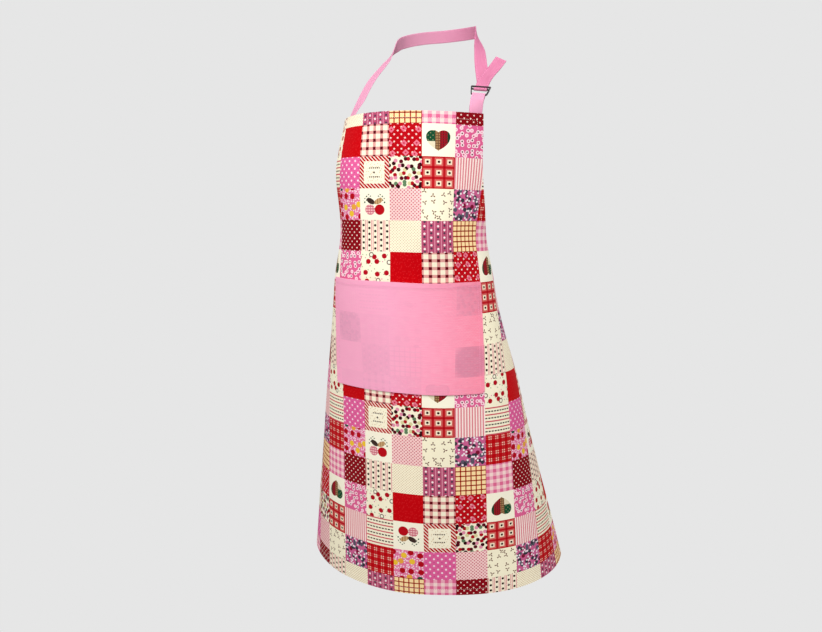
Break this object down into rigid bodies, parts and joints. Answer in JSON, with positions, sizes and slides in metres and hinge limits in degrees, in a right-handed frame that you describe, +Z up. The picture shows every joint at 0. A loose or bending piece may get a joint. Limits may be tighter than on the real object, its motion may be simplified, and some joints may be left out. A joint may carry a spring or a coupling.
{
  "type": "patchwork bib apron",
  "caption": "Bib apron of printed patchwork cotton, shaped as worn, with a wide front pocket and an adjustable neck strap with a metal slider.",
  "frame": {"origin": "on the neck strap at the nape, in the apron's centre plane", "axes": "+Z up along the worn apron, -Y the way its front faces, +X to the wearer's left"},
  "size_m": [0.4514, 0.2712, 0.912],
  "materials": {
    "printed_cotton": "plain-woven cotton printed with a patchwork of small squares",
    "pocket_cotton": "thin plain-woven pink cotton",
    "strap_cotton": "folded and sewn pink cotton",
    "gunmetal": "dark plated steel wire"
  },
  "bodies": {
    "root": {"apron_panel": "printed_cotton", "pocket": "pocket_cotton", "neck_strap": "strap_cotton", "strap_tab": "strap_cotton", "slide_buckle": "gunmetal"}
  },
  "joints": []
}
